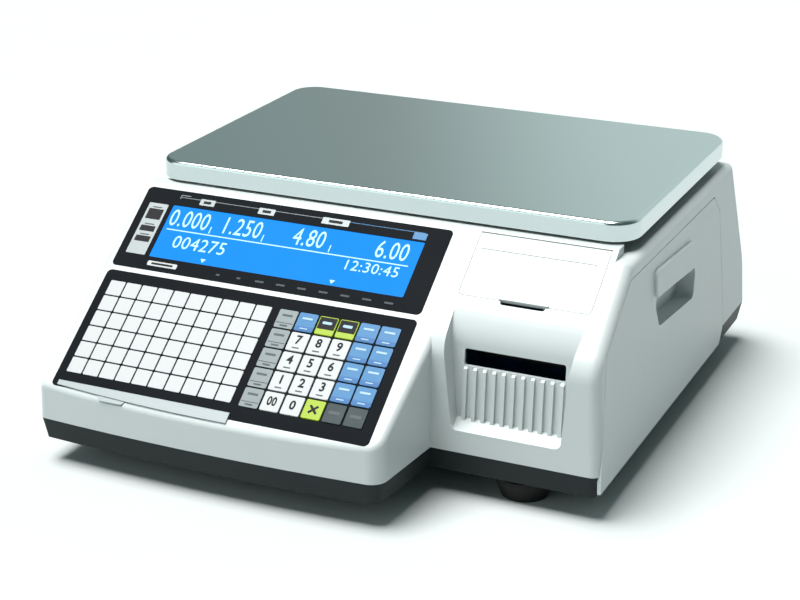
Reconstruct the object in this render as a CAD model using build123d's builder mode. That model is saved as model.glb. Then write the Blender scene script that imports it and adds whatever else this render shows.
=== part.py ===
"""Label-printing price scale with a slide-out printer cartridge.

Millimetres, +Z up. The origin is on the floor under the middle of the footprint, and the operator
stands on the -Y side. Every sub-part is a closed solid, or a few of them, in a STEP file of its own.
Places on the control slope are given as x and t, where t is the distance down the slope from the
upper edge of the display panel, and as a height above the slope's surface.
"""
import math
import os

from build123d import *

os.makedirs("parts", exist_ok=True)

# ---- driving dimensions -------------------------------------------------------------------------
BASE_W = 404.0  # width at the line where the white shell meets the black pan
HALF = BASE_W / 2
FRONT_Y = -226.0  # crown of the bowed front edge
CORNER_Y = -221.0  # front corners, behind the crown
REAR_Y = 226.0
STEP_Y = -150.0  # front face of the printer section, set back from the keypad
STEP_X_FRONT = 71.0  # right side of the keypad section, at the front
STEP_X_BACK = 77.0  # the same side where it meets the printer section
OVERLAP = 8.0  # how far the printer section runs into the keypad section
PART_Z = 35.0  # parting line between pan and shell
PAN_Z = 18.5  # underside of the pan
PAN_DRAFT = 12.0  # degrees that the pan's walls lean inwards, downwards
DECK_Z = 166.0  # deck under the platter
RIM_Z = 172.4  # raised rim in front of the platter
RIM_X = (-192.5, 184.0)
RIM_BACK_Y = -58.0
REAR_TOP_Y = 184.0  # where the deck turns down
REAR_KNEE = (223.0, 74.0)  # y and z of the bend in the rear wall
WALL = 2.6
SIDE_LEAN = 2.6  # degrees that the side walls lean inwards
SLOPE = 36.3  # degrees of the control slope above horizontal
SLOPE_TOP_Y, SLOPE_TOP_Z = -74.4, 169.8  # upper edge of the display panel
EDGE_R = 5.0  # rounding along the slope's front and left edges
KNEE_R, NOSE_R, REAR_R, DECK_R = 60.0, 22.0, 7.0, 6.0
CORNER_R, LEFT_CORNER_R, STEP_CORNER_R = 8.0, 5.2, 12.0

PANEL_X = (-190.8, 62.0)  # both black panels on the slope
PANEL_SHEET = 1.4
WINDOW_INSET = 6.0  # land that each panel rests on
DISPLAY_T = (0.0, 74.0)
KEYPAD_T = (78.0, 181.3)
LCD_X, LCD_T = (-164.0, 44.0), (13.5, 61.7)

SPEED_COLS, SPEED_ROWS, SPEED_GAP = 10, 6, 1.25
SPEED_X, SPEED_T = (-184.0, -48.0), (87.0, 169.0)
KEY_COLS, KEY_ROWS = 6, 5
KEYS_X, KEYS_T = (-42.4, 53.6), (87.0, 170.0)
KEY_GAP = 1.4
KEY_PROUD = 0.8
KEY_PLAY = 0.3  # side clearance of a key in its hole
KEY_DEPTH = 3.0
STRIP_X, STRIP_TOP_T = (-185.0, -45.0), 176.3
STRIP_EDGE = ((-185.0, 180.2), (-115.0, 184.1), (-45.0, 184.9))  # x and t along the lower edge
TAB_X, TAB_SLANT = (-151.0, -125.0), 3.5
TAB_T, TAB_DEPTH, TAB_GAP = (181.5, 186.6), 1.2, 0.4
STRIP_FOOT, STRIP_SHEET = 0.1, 1.4  # height of the underside, and thickness

FLAP_X, FLAP_T = (82.5, 179.5), (-1.4, 51.3)
FLAP_SHEET = 2.6
FLAP_GAP = 0.4
FLAP_R = 3.0  # lower corners
FLAP_PIN_R = 0.8
NOTCH_HALF, NOTCH_T, NOTCH_R = 16.5, 54.9, 2.2  # finger notch below the flap
LIP_HALF, LIP_W, LIP_PROUD = 18.5, 2.0, 1.4  # pull lip on the flap, above the notch

RECESS_X_TOP, RECESS_X_LOW = (84.0, 180.0), (92.5, 173.0)
RECESS_TOP, RECESS_BROW = (-125.3, 132.4), (-132.4, 121.2)  # the brow rolls over from the slope
RECESS_R = 5.0  # lower corners
SLOT_TOP, SLOT_LOW = (-134.5, 107.8), (-135.2, 95.3)
RECESS_FOOT = (-138.0, 57.0)
LEDGE_Z = 51.6
SLOT_X = (95.9, 170.3)
SLOT_R = 1.8
RIB_COUNT, RIB_PITCH, RIB_W, RIB_PROUD = 11, 7.1, 2.6, 2.4
POCKET_WALL = 2.4

PLATTER_W, PLATTER_D, PLATTER_TOP, SKIRT = 382.0, 248.0, 189.0, 14.4
PLATTER_Y = 59.0  # middle of the platter
PLATTER_R = 21.0
SHEET = 1.4  # platter steel

CELL_HALF, CELL_Y, CELL_Z = 20.0, (-16.0, 134.0), (128.0, 150.0)
SPIDER_Z = (169.5, 180.0)
ARM_TIP = (150.0, 90.0)  # from the middle of the platter
STOP_AT = (120.0, 75.0)
STOP_GAP = 0.6
DECK_HOLE = (56.0, 46.0)

FOOT_AT = ((-138.0, -122.0), (138.0, -122.0), (-138.0, 170.0), (138.0, 170.0))
FOOT_R_LOW, FOOT_R_TOP, FOOT_H = 17.0, 22.0, 16.0
STEM_R, STEM_TOP = 4.0, 33.0
HOLE_GAP = 0.05  # radial clearance of a shaft in its hole

POSTS = (  # screw posts: x, y and the direction of the rib that ties each one to its wall
    (-188.0, -207.0, -1, 0),
    (56.0, -206.0, 1, 0),
    (92.0, -137.0, 0, -1),
    (186.0, -137.0, 0, -1),
    (-189.0, 60.0, -1, 0),
    (-187.0, 211.0, -1, 0),
    (90.0, 212.0, 0, 1),
    (187.0, 211.0, 0, 1),
)
POST_R, SCREW_R, SCREW_HEAD_R = 5.0, 1.6, 3.4

DRAWER_OUTLINE = (  # y and z of the cartridge's front panel
    (-146.5, 22.0),
    (-146.5, 35.0),
    (-134.0, 118.0),
    (-82.0, 155.0),
    (128.0, 153.0),
    (144.0, 137.0),
    (159.8, 37.0),
    (150.0, 22.0),
)
DRAWER_GAP = 0.5
DRAWER_SHEET = 3.0
GRIP_PAD = ((-28.0, 144.5), (63.5, 138.2), (78.0, 114.3), (-28.0, 123.6))
GRIP_POCKET = ((-28.0, 123.6), (78.0, 114.3), (71.0, 89.9), (-15.8, 97.7))
GRIP_DEPTH = 14.0
PAD_PROUD = 2.6

CHASSIS_X = (64.0, 66.5)  # inner side plate
OUTER_PLATE_X = (176.0, 178.5)
CHASSIS_Y, CHASSIS_Z = (-118.0, 150.0), (40.0, 42.5)
PLATEN_AT, PLATEN_R, PLATEN_X = (-108.0, 101.0), 7.0, (97.0, 171.0)
HEAD_AT = (-72.0, 123.0)
ROLL_AT, ROLL_R, CORE_R, ROLL_X = (38.0, 97.0), 42.0, 19.0, (80.0, 166.0)
TAKEUP_AT, TAKEUP_R, TAKEUP_CORE = (115.0, 88.0), 24.0, 14.0
SHAFT_R = 3.0
SPINDLE_R = 4.0
GEAR_MODULE, PLATEN_TEETH, PINION_TEETH = 0.8, 30, 18
MESH_ANGLE = -45.0  # degrees, from the platen's axis to the motor's, in y and z
GEAR_X = (69.0, 75.0)
MOTOR_HALF, MOTOR_X = 17.5, (30.0, 64.0)

INLET_X, SWITCH_X, PORT_Z = -100.0, -66.0, 56.0
PORTS = ((-24.0, 31.0, 12.0), (12.0, 15.0, 13.0), (38.0, 15.0, 13.0))  # x, width and height
REAR_GLASS, REAR_GLASS_SHEET = (212.0, 48.0), 1.4
ROCKER_TILT = 6.0  # degrees each way from level
ROCKER_W, ROCKER_H, ROCKER_HOLE_W = 13.6, 18.6, 15.0
ROCKER_PIN_R, ROCKER_PIN_IN = 1.1, 1.6  # pivot pins and how far they enter the rocker

SLOPE_COS, SLOPE_SIN = math.cos(math.radians(SLOPE)), math.sin(math.radians(SLOPE))
SLOPE_NORMAL = (0, -SLOPE_SIN, SLOPE_COS)
LEAN_COS, LEAN_SIN = math.cos(math.radians(SIDE_LEAN)), math.sin(math.radians(SIDE_LEAN))
PAN_FLOOR = PAN_Z + WALL
ROCKER_AT = (REAR_Y - 5.2, PORT_Z)
PITCH_X = (KEYS_X[1] - KEYS_X[0]) / KEY_COLS
PITCH_T = (KEYS_T[1] - KEYS_T[0]) / KEY_ROWS
MESH_DISTANCE = GEAR_MODULE * (PLATEN_TEETH + PINION_TEETH) / 2
MOTOR_AT = (
    PLATEN_AT[0] + MESH_DISTANCE * math.cos(math.radians(MESH_ANGLE)),
    PLATEN_AT[1] + MESH_DISTANCE * math.sin(math.radians(MESH_ANGLE)),
)
ON_FLOOR = (Align.CENTER, Align.CENTER, Align.MIN)

RIGHT_WALL = Plane(origin=(HALF, 0, PART_Z), x_dir=(0, 1, 0), z_dir=(LEAN_COS, 0, LEAN_SIN))
REAR_LOW = Plane(
    origin=(0, REAR_Y, PART_Z),
    x_dir=(-1, 0, 0),
    z_dir=(0, REAR_KNEE[1] - PART_Z, REAR_Y - REAR_KNEE[0]),
)
REAR_HIGH = Plane(
    origin=(0, (REAR_KNEE[0] + REAR_TOP_Y) / 2, (REAR_KNEE[1] + DECK_Z) / 2),
    x_dir=(-1, 0, 0),
    z_dir=(0, DECK_Z - REAR_KNEE[1], REAR_KNEE[0] - REAR_TOP_Y),
)


# ---- helpers ------------------------------------------------------------------------------------
def slope_plane(height=0.0):
    """Plane of the control slope: local x to the right, local y up the slope, raised by height."""
    base = Plane(origin=(0, SLOPE_TOP_Y, SLOPE_TOP_Z), x_dir=(1, 0, 0), z_dir=SLOPE_NORMAL)
    return base.offset(height)


def slope_z(y):
    """Height of the control slope at a given y."""
    return SLOPE_TOP_Z + (y - SLOPE_TOP_Y) * SLOPE_SIN / SLOPE_COS


def slope_y(z):
    """Where the control slope reaches a given height."""
    return SLOPE_TOP_Y + (z - SLOPE_TOP_Z) * SLOPE_COS / SLOPE_SIN


def slope_yz(t, height):
    """The y and z of a place on the slope."""
    y = SLOPE_TOP_Y - t * SLOPE_COS - height * SLOPE_SIN
    z = SLOPE_TOP_Z - t * SLOPE_SIN + height * SLOPE_COS
    return y, z


def write(builder, label):
    """Names a finished piece and writes its STEP file."""
    builder.part.label = label
    export_step(builder.part, f"parts/{label}.step")


def slope_slab(x, t, low, high, radius=0.0, mode=Mode.ADD):
    """A flat slab on the slope, between two x, two t and two heights."""
    with BuildSketch(slope_plane(low)) as outline:
        with Locations(((x[0] + x[1]) / 2, -(t[0] + t[1]) / 2)):
            if radius:
                RectangleRounded(x[1] - x[0], t[1] - t[0], radius)
            else:
                Rectangle(x[1] - x[0], t[1] - t[0])
    extrude(outline.sketch, amount=high - low, mode=mode)


def flap_slab(top_t, gap, low, high, mode=Mode.ADD):
    """The flap's slab, or its opening when grown by a gap: square at the hinge, rounded below."""
    x = (FLAP_X[0] - gap, FLAP_X[1] + gap)
    bottom_t = FLAP_T[1] + gap
    slope_slab(x, (top_t, bottom_t - 2 * FLAP_R), low, high, mode=mode)
    slope_slab(x, (bottom_t - 4 * FLAP_R, bottom_t), low, high, radius=FLAP_R + gap, mode=mode)


def tab_form(gap, end_t, low, high, mode=Mode.ADD):
    """The strip's pull tab, or its notch in the shell: narrower towards the front edge."""
    x0, x1 = TAB_X[0] + gap, TAB_X[1] - gap
    with BuildSketch(slope_plane(low)) as outline:
        with BuildLine():
            Polyline(
                (x0, -TAB_T[0] - gap),
                (x1, -TAB_T[0] - gap),
                (x1 - TAB_SLANT, -end_t),
                (x0 + TAB_SLANT, -end_t),
                close=True,
            )
        make_face()
    extrude(outline.sketch, amount=high - low, mode=mode)


def block(x, y, z, mode=Mode.ADD):
    """A box between two x, two y and two z."""
    with Locations(((x[0] + x[1]) / 2, (y[0] + y[1]) / 2, (z[0] + z[1]) / 2)):
        Box(x[1] - x[0], y[1] - y[0], z[1] - z[0], mode=mode)


def rod(x, at, radius, mode=Mode.ADD):
    """A round bar along X, between two x, with its axis at a given y and z."""
    with BuildSketch(Plane.YZ.offset(x[0])) as section:
        with Locations(at):
            Circle(radius)
    extrude(section.sketch, amount=x[1] - x[0], mode=mode)


def plate(x, outline, mode=Mode.ADD):
    """A plate across X, between two x, with an outline of y and z points."""
    with BuildSketch(Plane.YZ.offset(x[0])) as section:
        with BuildLine():
            Polyline(*outline, close=True)
        make_face()
    extrude(section.sketch, amount=x[1] - x[0], mode=mode)


def nearest(part, *points):
    """The edges of a part that pass nearest to the given points."""
    return [part.edges().sort_by_distance(point)[0] for point in points]


def wall_outline(points, gap=0.0, radius=0.0):
    """A sketch on the right wall from y and z points, grown by a gap."""
    with BuildSketch(RIGHT_WALL) as outline:
        with BuildLine():
            Polyline(*[(y, z - PART_Z) for y, z in points], close=True)
        make_face()
        if radius:
            fillet(outline.vertices(), radius)
        if gap:
            offset(amount=gap, kind=Kind.INTERSECTION)
    return outline.sketch


# ---- the shell's outer and inner forms ----------------------------------------------------------
def cut_to_profile(inset):
    """Intersects the active part with the side profile and the leaning side walls."""
    slope_drop = inset / SLOPE_COS
    front = FRONT_Y - 2 * EDGE_R
    deck = DECK_Z - inset
    rear_lean = (REAR_Y - REAR_KNEE[0]) / (REAR_KNEE[1] - PART_Z)
    with BuildSketch(Plane.YZ.offset(-BASE_W)) as side_profile:
        with BuildLine():
            Polyline(
                (front, 0),
                (front, slope_z(front) - slope_drop),
                (slope_y(deck + slope_drop), deck),
                (REAR_TOP_Y - inset * 0.66, deck),
                (REAR_KNEE[0] - inset * 1.05, REAR_KNEE[1]),
                (REAR_Y - inset + rear_lean * PART_Z, 0),
                close=True,
            )
        make_face()
    extrude(side_profile.sketch, amount=2 * BASE_W, mode=Mode.INTERSECT)
    low = HALF - inset + LEAN_SIN / LEAN_COS * PART_Z
    high = HALF - inset - LEAN_SIN / LEAN_COS * PART_Z * 4
    with BuildSketch(Plane.XZ.offset(-BASE_W)) as lean:
        with BuildLine():
            Polyline((-low, 0), (low, 0), (high, PART_Z * 5), (-high, PART_Z * 5), close=True)
        make_face()
    extrude(lean.sketch, amount=2 * BASE_W, mode=Mode.INTERSECT)


def shell_form(inset, bottom):
    """The whole outer form, or the cavity when inset by the wall, above a given height."""
    half = HALF - inset
    overlap_y = STEP_Y - 2 * OVERLAP
    side_x = STEP_X_BACK - inset
    middle = (STEP_X_FRONT - HALF) / 2
    with BuildPart() as keypad_section:
        with BuildSketch(Plane.XY.offset(bottom)):
            with BuildLine():
                Line((STEP_X_FRONT - inset, CORNER_Y + inset), (side_x + 4.2, -100))
                Line((side_x + 4.2, -100), (-half, -100))
                Line((-half, -100), (-half, CORNER_Y + inset))
                ThreePointArc(
                    (-half, CORNER_Y + inset),
                    (middle, FRONT_Y + inset),
                    (STEP_X_FRONT - inset, CORNER_Y + inset),
                )
            make_face()
        extrude(amount=DECK_Z)
        cut_to_profile(inset)
        step_corner = nearest(keypad_section.part, (STEP_X_FRONT - inset, CORNER_Y + inset, 45))
        fillet(step_corner, STEP_CORNER_R - inset)
        left_corner = nearest(keypad_section.part, (-half + 0.5, CORNER_Y + inset, 45))
        fillet(left_corner, LEFT_CORNER_R - inset)
        brow = nearest(keypad_section.part, (middle, FRONT_Y + inset, slope_z(FRONT_Y) - inset))
        fillet(brow, EDGE_R - inset)

    with BuildPart() as printer_section:
        with BuildSketch(Plane.XY.offset(bottom)):
            with BuildLine():
                Polyline(
                    (side_x - OVERLAP, STEP_Y + inset),
                    (half, STEP_Y + inset),
                    (half, REAR_Y),
                    (-half, REAR_Y),
                    (-half, overlap_y),
                    (side_x - OVERLAP, overlap_y),
                    close=True,
                )
            make_face()
        extrude(amount=DECK_Z)
        cut_to_profile(inset)
        knee = nearest(printer_section.part, (0, REAR_KNEE[0] - inset, REAR_KNEE[1]))
        fillet(knee, KNEE_R)
        nose_z = slope_z(STEP_Y) - inset
        nose = nearest(printer_section.part, (HALF * 0.7, STEP_Y + inset, nose_z))
        fillet(nose, NOSE_R - inset)
        right_corner = nearest(printer_section.part, (half - 1, STEP_Y + inset, 70))
        fillet(right_corner, CORNER_R - inset)
        rear_y = REAR_Y - inset - 1
        rear = nearest(printer_section.part, (half - 0.5, rear_y, 50), (0.5 - half, rear_y, 50))
        fillet(rear, REAR_R - inset)
        deck = nearest(printer_section.part, (half - 6, PLATTER_Y, DECK_Z - inset))
        fillet(deck, DECK_R - inset)
        left_t = (-half + 4, slope_y(130), 130 - inset)
        left = nearest(printer_section.part, left_t)
        fillet(left, EDGE_R - inset)

    with BuildPart() as form:
        add(printer_section.part)
        add(keypad_section.part)
    return form.part


def plan_sketch(inset, height):
    """Plan outline of the shell at the parting line."""
    with BuildSketch(Plane.XY.offset(height)) as plan:
        with BuildLine():
            Polyline(
                (STEP_X_FRONT, CORNER_Y),
                (STEP_X_BACK, STEP_Y),
                (HALF, STEP_Y),
                (HALF, REAR_Y),
                (-HALF, REAR_Y),
                (-HALF, CORNER_Y),
            )
            middle = (STEP_X_FRONT - HALF) / 2
            ThreePointArc((-HALF, CORNER_Y), (middle, FRONT_Y), (STEP_X_FRONT, CORNER_Y))
        make_face()
        corners = plan.vertices()
        fillet(corners.sort_by_distance((STEP_X_FRONT, CORNER_Y, height))[0], STEP_CORNER_R)
        for corner, radius in (
            ((HALF, STEP_Y, height), CORNER_R),
            ((-HALF, CORNER_Y, height), LEFT_CORNER_R),
            ((HALF, REAR_Y, height), REAR_R),
            ((-HALF, REAR_Y, height), REAR_R),
        ):
            fillet(plan.vertices().sort_by_distance(corner)[0], radius)
        if inset:
            offset(amount=-inset, kind=Kind.INTERSECTION)
    return plan.sketch


def recess_form(grow):
    """Space of the label recess, or the body that its walls are cut from when grown."""
    front = STEP_Y - 2 * NOSE_R
    top = slope_z(RECESS_TOP[0]) + 2 * NOSE_R
    with BuildPart() as form:
        with BuildSketch(Plane.YZ.offset(RECESS_X_TOP[0] - grow)):
            with BuildLine():
                ThreePointArc(*[(y + grow, z) for y, z in (RECESS_TOP, RECESS_BROW, SLOT_TOP)])
                Polyline(
                    (SLOT_TOP[0] + grow, SLOT_TOP[1]),
                    (RECESS_FOOT[0] + grow, RECESS_FOOT[1] - grow),
                    (STEP_Y, LEDGE_Z - grow),
                    (front, LEDGE_Z - grow),
                    (front, top),
                    (RECESS_TOP[0] + grow + 8, top),
                    (RECESS_TOP[0] + grow, RECESS_TOP[1]),
                )
            make_face()
        extrude(amount=RECESS_X_TOP[1] - RECESS_X_TOP[0] + 2 * grow)
        with BuildSketch(Plane.XZ.offset(-front)) as form_front:
            with BuildLine():
                Polyline(
                    (RECESS_X_LOW[0] - grow, LEDGE_Z - grow),
                    (RECESS_X_LOW[1] + grow, LEDGE_Z - grow),
                    (RECESS_X_TOP[1] + grow, RECESS_TOP[1]),
                    (RECESS_X_TOP[1] + grow, top),
                    (RECESS_X_TOP[0] - grow, top),
                    (RECESS_X_TOP[0] - grow, RECESS_TOP[1]),
                    close=True,
                )
            make_face()
            low_corners = form_front.vertices().group_by(Axis.Z)[0]
            fillet(low_corners, RECESS_R + grow)
        extrude(amount=-BASE_W, both=True, mode=Mode.INTERSECT)
    return form.part


# ---- upper housing ------------------------------------------------------------------------------
outer_form = shell_form(0, PART_Z)
inner_form = shell_form(WALL, PART_Z - 2)
RIB_LENGTH, RIB_THICK, POST_TOP = 26.0, 2.0, 48.0
EAR_W, EAR_R = 3.4, 4.2
OPENING_TOP_T = FLAP_T[0] - FLAP_SHEET / 2 - FLAP_GAP
FLAP_MIDDLE = (FLAP_X[0] + FLAP_X[1]) / 2
FLAP_AXIS = slope_yz(FLAP_T[0], -FLAP_SHEET / 2)
KEYPAD_WINDOW_T = (KEYPAD_T[0] + WINDOW_INSET, KEYPAD_T[1] - WINDOW_INSET)
DISPLAY_WINDOW_T = (DISPLAY_T[0] + WINDOW_INSET, DISPLAY_T[1] - WINDOW_INSET)
WINDOW_X = (PANEL_X[0] + WINDOW_INSET, PANEL_X[1] - WINDOW_INSET)

with BuildPart() as pocket_walls:
    add(recess_form(POCKET_WALL))
    add(outer_form, mode=Mode.INTERSECT)

with BuildPart() as post_ribs:
    for post_x, post_y, rib_dx, rib_dy in POSTS:
        with Locations((post_x, post_y, PART_Z)):
            Cylinder(POST_R, POST_TOP - PART_Z, align=ON_FLOOR)
        with Locations((post_x + rib_dx * RIB_LENGTH / 2, post_y + rib_dy * RIB_LENGTH / 2, PART_Z)):
            Box(
                RIB_LENGTH if rib_dx else RIB_THICK,
                RIB_LENGTH if rib_dy else RIB_THICK,
                POST_TOP - PART_Z - 4,
                align=ON_FLOOR,
            )
    add(outer_form, mode=Mode.INTERSECT)

drawer_hole = wall_outline(DRAWER_OUTLINE, DRAWER_GAP)

with BuildPart() as upper_housing:
    add(outer_form)
    add(inner_form, mode=Mode.SUBTRACT)
    rim_foot_z = DECK_Z - WALL
    plate(
        RIM_X,
        (
            (slope_y(rim_foot_z), rim_foot_z),
            (slope_y(RIM_Z), RIM_Z),
            (RIM_BACK_Y, RIM_Z),
            (RIM_BACK_Y, rim_foot_z),
        ),
    )
    rim_ends = nearest(
        upper_housing.part,
        (RIM_X[0], RIM_BACK_Y, RIM_Z - 2),
        (RIM_X[1], RIM_BACK_Y, RIM_Z - 2),
    )
    fillet(rim_ends, 3.0)
    add(pocket_walls.part)
    add(recess_form(0), mode=Mode.SUBTRACT)
    with BuildSketch(Plane.XZ.offset(3 - SLOT_LOW[0])):
        with Locations((sum(SLOT_X) / 2, (SLOT_LOW[1] + SLOT_TOP[1]) / 2)):
            RectangleRounded(SLOT_X[1] - SLOT_X[0], SLOT_TOP[1] - SLOT_LOW[1], SLOT_R)
    extrude(amount=-8, mode=Mode.SUBTRACT)
    for index in range(RIB_COUNT):
        rib_x = SLOT_X[0] + 1.7 + RIB_PITCH * index
        plate(
            (rib_x - RIB_W / 2, rib_x + RIB_W / 2),
            (
                (SLOT_LOW[0], SLOT_LOW[1] - 0.6),
                (SLOT_LOW[0] - RIB_PROUD, SLOT_LOW[1] - 2),
                (RECESS_FOOT[0] - RIB_PROUD, RECESS_FOOT[1]),
                (RECESS_FOOT[0] - RIB_PROUD, LEDGE_Z + 2),
                (RECESS_FOOT[0] + 1, LEDGE_Z + 2),
            ),
        )
    slope_slab(PANEL_X, DISPLAY_T, -PANEL_SHEET, 8, radius=4, mode=Mode.SUBTRACT)
    slope_slab(PANEL_X, KEYPAD_T, -PANEL_SHEET, 8, radius=4, mode=Mode.SUBTRACT)
    slope_slab(WINDOW_X, DISPLAY_WINDOW_T, -8, 0, mode=Mode.SUBTRACT)
    slope_slab(WINDOW_X, KEYPAD_WINDOW_T, -8, 0, mode=Mode.SUBTRACT)

    tab_form(0, TAB_T[1] + TAB_GAP, -TAB_DEPTH, 4, mode=Mode.SUBTRACT)

    flap_hole_x = (FLAP_X[0] - FLAP_GAP, FLAP_X[1] + FLAP_GAP)
    flap_slab(OPENING_TOP_T, FLAP_GAP, -9, 8, mode=Mode.SUBTRACT)
    notch_x = (FLAP_MIDDLE - NOTCH_HALF, FLAP_MIDDLE + NOTCH_HALF)
    notch_t = (2 * FLAP_T[1] - NOTCH_T, NOTCH_T)
    slope_slab(notch_x, notch_t, -WALL - 1, 2, radius=NOTCH_R, mode=Mode.SUBTRACT)
    for ear_x in (flap_hole_x[0] - EAR_W, flap_hole_x[1]):
        ear_y, ear_z = FLAP_AXIS
        plate(
            (ear_x, ear_x + EAR_W),
            (
                (ear_y - EAR_R, ear_z - EAR_R),
                (ear_y - EAR_R, slope_z(ear_y - EAR_R) - 1),
                (ear_y + 1.5, slope_z(ear_y + 1.5) - 1),
                (ear_y + EAR_R, rim_foot_z + 1),
                (ear_y + EAR_R, ear_z - EAR_R),
            ),
        )
    rod((flap_hole_x[0] - EAR_W, flap_hole_x[0]), FLAP_AXIS, FLAP_PIN_R + HOLE_GAP, mode=Mode.SUBTRACT)
    rod((flap_hole_x[1], flap_hole_x[1] + EAR_W), FLAP_AXIS, FLAP_PIN_R + HOLE_GAP, mode=Mode.SUBTRACT)

    with Locations((0, CELL_Y[0] + 15, DECK_Z)):
        Box(DECK_HOLE[0], DECK_HOLE[1], 4 * WALL, mode=Mode.SUBTRACT)
    extrude(drawer_hole, amount=-12, both=True, mode=Mode.SUBTRACT)

    with BuildSketch(REAR_HIGH):
        Rectangle(*REAR_GLASS)
    extrude(amount=-REAR_GLASS_SHEET, mode=Mode.SUBTRACT)
    with BuildSketch(REAR_HIGH):
        Rectangle(REAR_GLASS[0] - 2 * WINDOW_INSET, REAR_GLASS[1] - 2 * WINDOW_INSET)
    extrude(amount=-8, mode=Mode.SUBTRACT)
    with BuildSketch(REAR_LOW.offset(-WALL - 2)):
        with Locations((-INLET_X, PORT_Z - PART_Z)):
            Rectangle(27.4, 19.4)
        with Locations((-SWITCH_X, PORT_Z - PART_Z)):
            Rectangle(ROCKER_HOLE_W, 21)
        for port_x, port_w, port_h in PORTS:
            with Locations((-port_x, PORT_Z - PART_Z)):
                Rectangle(port_w, port_h)
    extrude(amount=WALL + 4, mode=Mode.SUBTRACT)

    for side in (-1, 1):
        wall_x = SWITCH_X + side * ROCKER_HOLE_W / 2
        lug_x = sorted((wall_x, wall_x + 2 * side))
        block(lug_x, (ROCKER_AT[0] - 2.5, REAR_Y - 2.5), (ROCKER_AT[1] - 2.5, ROCKER_AT[1] + 2.5))
        pin_x = sorted((SWITCH_X + side * (ROCKER_W / 2 - ROCKER_PIN_IN), wall_x + side))
        rod(pin_x, ROCKER_AT, ROCKER_PIN_R)

    add(post_ribs.part)
    for post_x, post_y, rib_dx, rib_dy in POSTS:
        with Locations((post_x, post_y, PAN_FLOOR)):
            Cylinder(POST_R, PART_Z + 2 - PAN_FLOOR, align=ON_FLOOR)
            Cylinder(SCREW_R + HOLE_GAP, 16, align=ON_FLOOR, mode=Mode.SUBTRACT)
write(upper_housing, "upper_housing")

# ---- base pan -----------------------------------------------------------------------------------
BOSS_R, BOSS_TOP = 9.0, 30.0
RAIL_Y, RAIL_HALF_W, RAIL_X = (-98.0, 140.0), 5.0, (62.0, 194.0)
MOUNT_Y = (104.0, 134.0)

with BuildPart() as pan_cavity:
    add(plan_sketch(WALL, PART_Z))
    extrude(amount=PART_Z - PAN_FLOOR, dir=(0, 0, -1), taper=PAN_DRAFT)

with BuildPart() as base_pan:
    add(plan_sketch(0, PART_Z))
    extrude(amount=PART_Z - PAN_Z, dir=(0, 0, -1), taper=PAN_DRAFT)
    add(pan_cavity.part, mode=Mode.SUBTRACT)
    drawer_y = (DRAWER_OUTLINE[0][0] - DRAWER_GAP, DRAWER_OUTLINE[-2][0])
    cut_x = (HALF - DRAWER_SHEET - DRAWER_GAP, HALF + 1)
    block(cut_x, drawer_y, (PAN_FLOOR, PART_Z + 1), mode=Mode.SUBTRACT)
    with Locations(*[(x, y, PAN_FLOOR) for x, y in FOOT_AT]):
        Cylinder(BOSS_R, BOSS_TOP - PAN_FLOOR, align=ON_FLOOR)
    with Locations(*[(x, y, PAN_Z) for x, y in FOOT_AT]):
        Cylinder(STEM_R + HOLE_GAP, BOSS_TOP - PAN_Z, align=ON_FLOOR, mode=Mode.SUBTRACT)
    with Locations(*[(x, y, PAN_Z) for x, y, _, _ in POSTS]):
        Cylinder(SCREW_R + HOLE_GAP, WALL, align=ON_FLOOR, mode=Mode.SUBTRACT)
        Cylinder(SCREW_HEAD_R + 0.2, WALL - 1, align=ON_FLOOR, mode=Mode.SUBTRACT)
    with BuildSketch(Plane.XY.offset(PAN_Z)):
        with Locations((-100, 0)):
            with GridLocations(9, 0, 9, 1):
                SlotOverall(60, 3, rotation=90)
    extrude(amount=WALL, mode=Mode.SUBTRACT)
write(base_pan, "base_pan")

with BuildPart() as housing_screws:
    with Locations(*[(x, y, PAN_Z) for x, y, _, _ in POSTS]):
        Cylinder(SCREW_HEAD_R, WALL - 1, align=ON_FLOOR)
        Cylinder(SCREW_R, 15, align=ON_FLOOR)
    with Locations(*[(x, y, PAN_Z) for x, y, _, _ in POSTS]):
        Box(4, 0.9, 0.9, align=ON_FLOOR, mode=Mode.SUBTRACT)
        Box(0.9, 4, 0.9, align=ON_FLOOR, mode=Mode.SUBTRACT)
write(housing_screws, "housing_screws")

for number, (foot_x, foot_y) in enumerate(FOOT_AT):
    with BuildPart() as foot:
        with BuildSketch(Plane.XZ.offset(-foot_y)):
            with BuildLine():
                Polyline(
                    (foot_x, 0),
                    (foot_x + FOOT_R_LOW, 0),
                    (foot_x + FOOT_R_LOW + 1, 3),
                    (foot_x + FOOT_R_TOP, FOOT_H - 3),
                    (foot_x + FOOT_R_TOP, FOOT_H),
                    (foot_x + STEM_R + 4, FOOT_H + 1.8),
                    (foot_x + STEM_R, FOOT_H + 1.8),
                    (foot_x + STEM_R, STEM_TOP),
                    (foot_x, STEM_TOP),
                    close=True,
                )
            make_face()
        revolve(axis=Axis((foot_x, foot_y, 0), (0, 0, 1)))
    write(foot, "foot_" + ("front_left", "front_right", "rear_left", "rear_right")[number])

# ---- weighing mechanism -------------------------------------------------------------------------
with BuildPart() as cell_mount:
    block((-36, 36), (90, 146), (PAN_FLOOR, PAN_FLOOR + 5))
    block((-CELL_HALF - 2, CELL_HALF + 2), MOUNT_Y, (PAN_FLOOR, CELL_Z[0]))
    block((-3, 3), (92, 145), (PAN_FLOOR, 70))
    window_z = (PAN_FLOOR + 16, CELL_Z[0] - 14)
    block((-CELL_HALF + 6, -7), (MOUNT_Y[0] - 3, MOUNT_Y[1] + 3), window_z, mode=Mode.SUBTRACT)
    block((7, CELL_HALF - 6), (MOUNT_Y[0] - 3, MOUNT_Y[1] + 3), window_z, mode=Mode.SUBTRACT)
write(cell_mount, "cell_mount")

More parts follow.
